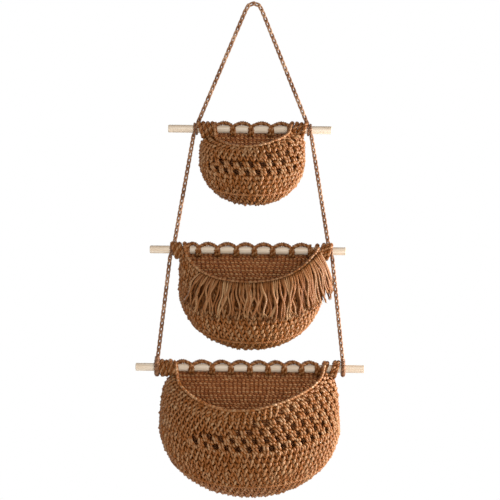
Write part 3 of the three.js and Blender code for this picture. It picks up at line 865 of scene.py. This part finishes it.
# The lashings: the end of the yarn wound several times round the dowel at each corner of a pocket, in
# uneven turns that droop below it. The innermost ones carry the end of the rim.
LASHINGS = {
    "top": ((58.0, 65.0, 72.0, 79.0), (57.0, 64.5, 71.5, 78.5)),
    "middle": ((98.5, 106.5, 112.0, 117.5), (97.5, 107.5, 113.0, 118.5)),
    "bottom": ((118.5, 124.5, 131.0, 137.0), (110.5, 114.5, 126.5, 131.5)),
}
LASHING_CORD = 6.8
LASHING_TWIST = 10.0
LASHING_STEP = 1.4
LASHING_GAP = 0.8
LASHING_UNEVEN = 0.4
LASHING_SLANT = 3.6
LASHING_DROOP = 2.4
LASHING_END = 0.1
LASHING_MOVE = 0.6
for name, sides in LASHINGS.items():
    z0 = TIERS[name]["z"]
    for side_name, side, places in zip(("left", "right"), (-1, 1), np.array(sides)):
        count = len(places)
        turn = np.linspace(LASHING_END, count - LASHING_END, count * WRAP_POINTS)
        here = np.minimum(turn.astype(int), count - 1)
        there = np.minimum(here + 1, count - 1)
        moved = smooth((turn - here - LASHING_MOVE) / (1 - LASHING_MOVE))
        angle = 2 * np.pi * turn
        x = side * (places[here] + (places[there] - places[here]) * moved)
        x = x - side * LASHING_SLANT * np.cos(angle)
        radius = WRAP_RADIUS + LASHING_GAP + rng.normal(0, LASHING_UNEVEN, count)[here]
        radius = radius + LASHING_DROOP * (1 + np.cos(angle)) / 2
        path = np.stack([x, -radius * np.sin(angle), z0 - radius * np.cos(angle)], 1)
        path = spaced(path, LASHING_STEP)
        from_dowel = path * (0, 1, 1) - (0, 0, z0)
        wound = rope(path, LASHING_CORD / 2, from_dowel, LASHING_TWIST, PLY_SHADE_TONES)
        piece(f"{name}_{side_name}_lashing", [wound], basket_cotton, f"{name}_basket", "crocheted_yarn",
              f"{name}_{side_name}_corner_wrap")


# The fringe: cut lengths of softer yarn, doubled and knotted in tufts over the middle basket's rim. They
# hang down on the pocket in two layers, a little wavy, crossing here and there, with frayed ends, and
# flare out at both sides.
FRINGE_NODES = 22
FRINGE_TUFTS = 25
FRINGE_TUFT = 6
FRINGE_LAYERS = 2
FRINGE_YARN = 3.1
FRINGE_LENGTH = 47.0
TUFT_UNEVEN = 0.06
STRAND_UNEVEN = 0.05
FRINGE_START = -1.2
FRINGE_ENDS = (0.80, 0.30)
FRINGE_OFF = 0.006
FRINGE_GATHER = 0.42
GATHER_RATE = 1.4
TUFT_LEAN = 0.075
STRAND_LEAN = 0.035
LEAN_POWER = 1.4
FRINGE_WAVE = 0.030
FRINGE_WAVES = (0.6, 1.1)
WAVE_RATE = 2
RIGHT_FLARE = 0.22
RIGHT_FROM = 2.1
RIGHT_OVER = 0.7
RIGHT_POWER = 1.2
LEFT_FLARE = 0.24
LEFT_FROM = 1.25
LEFT_OVER = 0.5
LEFT_POWER = 0.8
LOOSE_LIFT = 9
LOOSE_FROM = 2.45
LOOSE_OVER = 0.35
FRINGE_GAP = 0.6
LAYER_LIFT = 3.2
STRAND_LIFT = 2.4
LIFTED_AT = 0.4
UNDER_LAYER_SHADE = 0.16
UPPER_LAYER_LIGHT = 0.38
STRAND_TONE = 0.09
KNOT_SHADE = 0.05
KNOT_SHARE = 0.15
STRAND_TAPER = 0.15
TAPER_POWER = 8
NEAR_RIM = 1.98
FRAY = 4
FRAY_SPREAD = 0.018
FRAY_LEAN = 2.2
FRAY_LENGTH = (5, 8)
FRAY_LIFT = 1.2
FRAY_LOW = 0.8
FRAY_RADIUS = 0.75
FRAY_TAPER = 0.6
FRAY_TONE = 0.08
fringed = POUCHES["middle"]
fringed_wall = wall_height(fringed)


def on_fringe(phi, down, lift):
    """A point of the fringe: at phi, so far down from the rim along the pocket, and lifted off it. Along
    the wall v falls from 2 to 1 with the way down, and on the bowl by 1 for a quarter circle of it."""
    on_wall = np.minimum(2 - down / fringed_wall, 2)
    on_bowl = 1 - (down - fringed_wall) / fringed["bowl"] * 2 / np.pi
    v = np.where(down < fringed_wall, on_wall, on_bowl)
    out = pouch_axes("middle", phi, np.minimum(v, NEAR_RIM))[2]
    return pouch_point("middle", phi, v) + lift[:, :, None] * out, out


count = FRINGE_TUFTS * FRINGE_TUFT
legs = np.linspace(FRINGE_ENDS[0], np.pi - FRINGE_ENDS[1], count) + rng.normal(0, FRINGE_OFF, count)
middles = legs.reshape(FRINGE_TUFTS, FRINGE_TUFT).mean(1)
tuft = np.repeat(np.arange(FRINGE_TUFTS), FRINGE_TUFT)
layer = (np.arange(count) % FRINGE_LAYERS)[:, None]
legs = legs[:, None]
t = np.linspace(0, 1, 13)
uneven = rng.normal(0, TUFT_UNEVEN, FRINGE_TUFTS)[tuft, None]
down = FRINGE_START + FRINGE_LENGTH * (1 + uneven + rng.normal(0, STRAND_UNEVEN, (count, 1))) * t
gather = FRINGE_GATHER * (middles[tuft, None] - legs) * smooth(GATHER_RATE * t)
lean = rng.normal(0, TUFT_LEAN, FRINGE_TUFTS)[tuft, None]
lean = (lean + rng.normal(0, STRAND_LEAN, (count, 1))) * t ** LEAN_POWER
waves = t * rng.uniform(*FRINGE_WAVES, (count, 1)) + rng.random((count, 1))
wave = FRINGE_WAVE * np.sin(2 * np.pi * waves) * smooth(WAVE_RATE * t)
flare = RIGHT_FLARE * smooth((legs - RIGHT_FROM) / RIGHT_OVER) * t ** RIGHT_POWER
flare = flare - LEFT_FLARE * smooth((LEFT_FROM - legs) / LEFT_OVER) * t ** LEFT_POWER
phi = legs + gather + lean + wave + flare
off_pocket = LAYER_LIFT * layer + rng.uniform(0, STRAND_LIFT, (count, 1))
loose = LOOSE_LIFT * smooth((legs - LOOSE_FROM) / LOOSE_OVER) * t
lift = FRINGE_YARN / 2 + FRINGE_GAP + off_pocket * smooth(t / LIFTED_AT) + loose
strands, out = on_fringe(phi, down, lift)
# Painted shade and light: the under layer is painted dark and the upper one light, and each strand is
# painted a little darker near its knot, as painted shade under the rim.
tone = UNDER_LAYER_SHADE + UPPER_LAYER_LIGHT * layer + rng.normal(0, STRAND_TONE, (count, 1))
tone = tone - KNOT_SHADE * (1 - smooth(t / KNOT_SHARE))
fringe = [tubes(strands, FRINGE_YARN / 2 * (1 - STRAND_TAPER * t ** TAPER_POWER), out, 6, tone)]

ends = np.repeat(np.arange(count), FRAY)
each = (len(ends), 1)
u = np.linspace(0, 1, 5)
fray_lean = (phi[ends, -1:] - phi[ends, -2:-1]) * FRAY_LEAN
fray_phi = phi[ends, -2:-1] + fray_lean * u + rng.normal(0, FRAY_SPREAD, each) * u
fray_down = down[ends, -2:-1] + rng.uniform(*FRAY_LENGTH, each) * u
fray_lift = np.maximum(lift[ends, -2:-1] + rng.normal(0, FRAY_LIFT, each) * u, FRAY_LOW)
fibres, out = on_fringe(fray_phi, fray_down, fray_lift)
fringe.append(tubes(fibres, FRAY_RADIUS * (1 - FRAY_TAPER * u), out, 4, tone[ends, -1:] + FRAY_TONE))
fringe_cotton = cotton_yarn("fringe_cotton", "#301200", "#824E22", "#B28B60", ply_mm=2.8, sheen=0.0)
piece("fringe", fringe, fringe_cotton, "middle_basket", "fringe_yarn",
      *[f"fringe_strand_{i:02d}" for i in range(1, FRINGE_NODES + 1)])


# The stage: a pale floor far below the hanging object, and soft studio light, with its key from the
# right and a weaker lamp behind.
FLOOR_DROP = 0.6
FLOOR_HALF = 2.4
PAPER_TOOTH = 0.5
PAPER_RELIEF = 0.1
AMBIENT = 0.12
OBJECT_MIDDLE = (0, -0.04, -0.4)


def matt_paper(name):
    """Matt white paper, with a faint tooth PAPER_TOOTH wide."""
    made, tree, surface = new_material(name)
    place = node(tree, "ShaderNodeTexCoord").outputs["Object"]
    tooth = node(tree, "ShaderNodeTexNoise", {"Vector": place, "Scale": 1 / (PAPER_TOOTH * MM)})
    bump = node(tree, "ShaderNodeBump",
                {"Height": tooth.outputs["Fac"], "Strength": 0.1, "Distance": PAPER_RELIEF * MM})
    shader = node(tree, "ShaderNodeBsdfPrincipled",
                  {"Base Color": linear("#F4F3F1"), "Roughness": 0.9, "Normal": bump.outputs[0]})
    tree.links.new(shader.outputs[0], surface)
    return made


floor_z = cad_box[0][2] - FLOOR_DROP
floor_mesh = bpy.data.meshes.new("floor")
floor_mesh.from_pydata([(-FLOOR_HALF, -FLOOR_HALF, floor_z), (FLOOR_HALF, -FLOOR_HALF, floor_z),
                        (FLOOR_HALF, FLOOR_HALF, floor_z), (-FLOOR_HALF, FLOOR_HALF, floor_z)],
                       [], [(0, 1, 2, 3)])
floor_mesh.materials.append(matt_paper("matt_paper"))
floor = bpy.data.objects.new("floor", floor_mesh)
bpy.context.scene.collection.objects.link(floor)

world = bpy.data.worlds.new("studio")
bpy.context.scene.world = world
world.use_nodes = True
sky = world.node_tree
sky.nodes.clear()
rays = node(sky, "ShaderNodeLightPath")
seen = node(sky, "ShaderNodeMath",
            {0: rays.outputs["Is Camera Ray"], 1: rays.outputs["Is Glossy Ray"]}, operation="MAXIMUM")
seen = node(sky, "ShaderNodeMath",
            {0: seen.outputs[0], 1: rays.outputs["Is Transmission Ray"]}, operation="MAXIMUM")
lit = node(sky, "ShaderNodeBackground", {"Color": linear(WHITE), "Strength": AMBIENT})
shown = node(sky, "ShaderNodeBackground", {"Color": linear(WHITE), "Strength": 1.0})
chosen = node(sky, "ShaderNodeMixShader", {0: seen.outputs[0], 1: lit.outputs[0], 2: shown.outputs[0]})
node(sky, "ShaderNodeOutputWorld", {"Surface": chosen.outputs[0]})


def soft_box(name, place, aim, size, watts):
    """A square soft box at place, turned to aim."""
    light = bpy.data.lights.new(name, "AREA")
    light.size = size
    light.energy = watts
    made = bpy.data.objects.new(name, light)
    made.location = place
    made.rotation_euler = (Vector(aim) - Vector(place)).to_track_quat("-Z", "Y").to_euler()
    bpy.context.scene.collection.objects.link(made)


soft_box("key", (1.25, -0.02, -0.42), OBJECT_MIDDLE, size=0.3, watts=48)
soft_box("front", (0.3, -2.2, -0.1), OBJECT_MIDDLE, size=1.6, watts=40)
soft_box("fill", (-2.0, -1.0, 0.2), OBJECT_MIDDLE, size=1.0, watts=8)
soft_box("back", (-0.6, 2.2, -0.1), OBJECT_MIDDLE, size=1.6, watts=22)

bpy.context.scene.view_settings.view_transform = "Standard"
